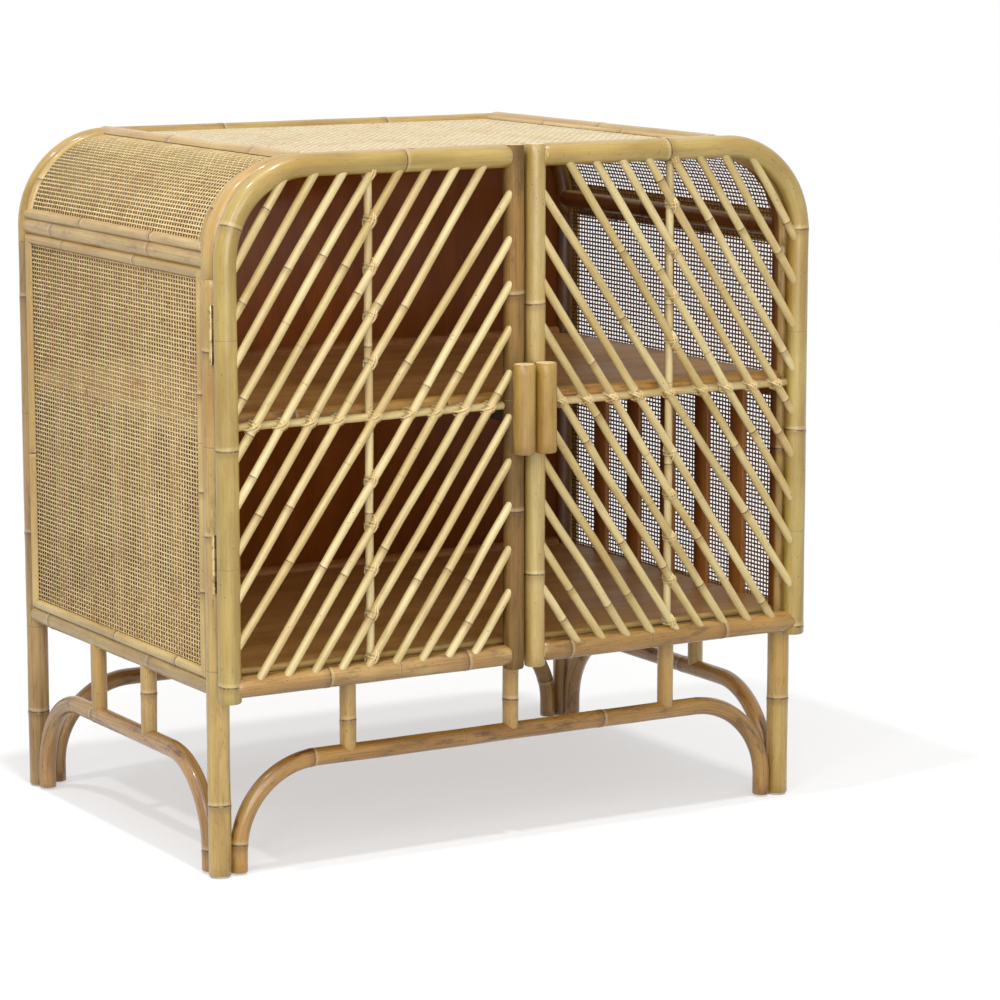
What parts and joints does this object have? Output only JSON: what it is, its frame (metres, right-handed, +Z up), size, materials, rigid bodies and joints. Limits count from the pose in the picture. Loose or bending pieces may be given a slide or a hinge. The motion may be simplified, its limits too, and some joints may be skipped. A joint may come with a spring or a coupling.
{
  "type": "record cabinet",
  "caption": "Domed cabinet of bent rattan pole for records, with woven cane sides and top, an inner shelf, hinged doors of slanted canes and arched stretchers between the feet.",
  "frame": {"origin": "on the floor, under the middle of the whole cabinet with its doors shut and its handles on", "axes": "+X to the right as one faces the doors, +Y from the doors to the back, +Z up"},
  "size_m": [0.91, 0.673, 0.939],
  "materials": {
    "frame_pole": "rattan pole in clear gloss lacquer",
    "arch_pole": "darker rattan pole in clear lacquer",
    "door_pole": "rattan pole in clear gloss lacquer",
    "door_stile": "rattan pole in clear gloss lacquer",
    "handle_pole": "rattan pole in clear gloss lacquer",
    "split_cane": "split rattan, lacquered",
    "cane_webbing": "woven cane strip, matt",
    "door_cane": "thin rattan cane, satin",
    "back_board": "stained board, satin",
    "board": "stained board, satin",
    "batten": "stained batten, satin",
    "hinge_brass": "brushed brass",
    "strike_steel": "zinc plated",
    "catch_plastic": "moulded, dark brown",
    "glide_plastic": "moulded, pale grey"
  },
  "bodies": {
    "cabinet": {"back_panel": "back_board", "beading_side_left": "split_cane", "beading_side_right": "split_cane", "beading_top": "split_cane", "door_catches": "catch_plastic", "floor_panel": "board", "foot_glides": "glide_plastic", "hinge_leaves_case": "hinge_brass", "hinge_pins": "hinge_brass", "hoop_front": "frame_pole", "hoop_rear": "frame_pole", "inner_beading": "split_cane", "leg_arch_front": "arch_pole", "leg_arch_left": "arch_pole", "leg_arch_rear": "arch_pole", "leg_arch_right": "arch_pole", "post_front_left": "frame_pole", "post_front_right": "frame_pole", "post_rear_left": "frame_pole", "post_rear_right": "frame_pole", "rail_bottom_front": "frame_pole", "rail_bottom_left": "frame_pole", "rail_bottom_rear": "frame_pole", "rail_bottom_right": "frame_pole", "rail_mid_left": "frame_pole", "rail_mid_right": "frame_pole", "rail_top_left": "split_cane", "rail_top_right": "split_cane", "shelf_bearers": "batten", "shelf_front_pole": "frame_pole", "shelf_panel": "board", "spindles_front": "frame_pole", "spindles_left": "frame_pole", "spindles_rear": "frame_pole", "spindles_right": "frame_pole", "top_board": "board", "wall_slats": "batten", "webbing_shoulder_left": "cane_webbing", "webbing_shoulder_right": "cane_webbing", "webbing_side_left": "cane_webbing", "webbing_side_right": "cane_webbing", "webbing_top": "cane_webbing"},
    "left_door": {"door_canes_left": "door_cane", "door_crossbar_left": "door_cane", "door_handle_left": "handle_pole", "door_hoop_left": "door_pole", "door_rail_left": "door_pole", "door_stile_left": "door_stile", "door_upright_left": "door_cane", "hinge_leaves_left_door": "hinge_brass", "strike_plate_left": "strike_steel"},
    "right_door": {"door_canes_right": "door_cane", "door_crossbar_right": "door_cane", "door_handle_right": "handle_pole", "door_hoop_right": "door_pole", "door_rail_right": "door_pole", "door_stile_right": "door_stile", "door_upright_right": "door_cane", "hinge_leaves_right_door": "hinge_brass", "strike_plate_right": "strike_steel"}
  },
  "joints": [
    {"name": "left_door_hinge", "type": "hinge", "parent": "cabinet", "child": "left_door", "pos_m": [-0.452, -0.276, 0.5645], "axis": [0, 0, -1], "range_deg": [0, 150]},
    {"name": "right_door_hinge", "type": "hinge", "parent": "cabinet", "child": "right_door", "pos_m": [0.452, -0.276, 0.5645], "axis": [0, 0, 1], "range_deg": [0, 150]}
  ]
}
